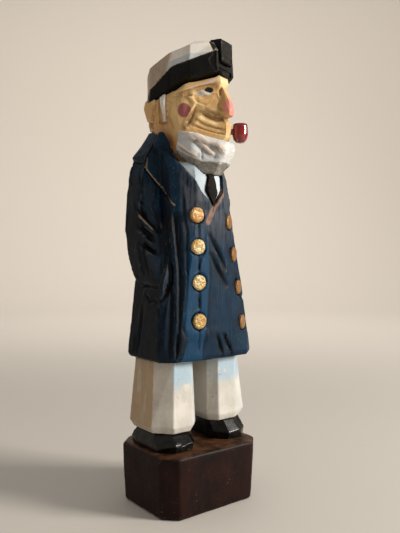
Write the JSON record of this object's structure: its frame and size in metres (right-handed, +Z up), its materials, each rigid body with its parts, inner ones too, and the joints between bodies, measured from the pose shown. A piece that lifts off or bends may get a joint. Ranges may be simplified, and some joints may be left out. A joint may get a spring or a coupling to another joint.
{
  "type": "carved wooden figurine",
  "caption": "Painted carved wooden sea captain in a long navy coat and peaked cap, with a white beard and a pipe, standing on a chamfered block base.",
  "frame": {"origin": "middle of the base block's underside, on the table", "axes": "+Z up through the figure, the figure faces -Y, its right hand is on -X"},
  "size_m": [0.052, 0.0432, 0.201],
  "materials": {
    "base_paint": "satin dark maroon-brown paint over wood, dusty on top",
    "shoe_gloss": "gloss black paint over wood",
    "trouser_paint": "matt off-white paint over wood",
    "coat_paint": "satin navy paint over wood, brush-streaked, rubbed to bare wood on the cut edges",
    "shirt_paint": "matt pale blue-white paint over wood",
    "tie_paint": "matt near-black paint over wood",
    "face_paint": "thin flesh-coloured wash over wood, with rosy cheeks and nose",
    "hair_paint": "matt white paint over wood",
    "beard_paint": "matt white paint over wood",
    "cap_black": "satin black paint over wood, worn at the edges",
    "cap_white": "matt white paint over wood",
    "pipe_gloss": "gloss dark red paint over wood",
    "button_gold": "worn gold paint over wood",
    "dowel_wood": "bare wood"
  },
  "bodies": {
    "root": {"base_block": "base_paint", "right_shoe": "shoe_gloss", "left_shoe": "shoe_gloss", "right_trouser_leg": "trouser_paint", "left_trouser_leg": "trouser_paint", "coat_body": "coat_paint", "right_sleeve": "coat_paint", "left_sleeve": "coat_paint", "coat_collar": "coat_paint", "right_lapel": "coat_paint", "left_lapel": "coat_paint", "shirt_front": "shirt_paint", "necktie": "tie_paint", "head": "face_paint", "hair_back": "hair_paint", "sideburn_right": "hair_paint", "sideburn_left": "hair_paint", "beard": "beard_paint", "cap_band": "cap_black", "cap_crown": "cap_white", "cap_front_panel": "cap_black", "cap_visor": "cap_black", "pipe_stem": "pipe_gloss", "pipe_bowl": "pipe_gloss", "button_right_1": "button_gold", "button_right_2": "button_gold", "button_right_3": "button_gold", "button_right_4": "button_gold", "button_left_1": "button_gold", "button_left_2": "button_gold", "button_left_3": "button_gold", "button_left_4": "button_gold", "leg_dowel_right": "dowel_wood", "leg_dowel_left": "dowel_wood", "hip_dowel_right": "dowel_wood", "hip_dowel_left": "dowel_wood", "neck_dowel": "dowel_wood", "cap_dowel": "dowel_wood", "sleeve_dowel_right": "dowel_wood", "sleeve_dowel_left": "dowel_wood"}
  },
  "joints": []
}
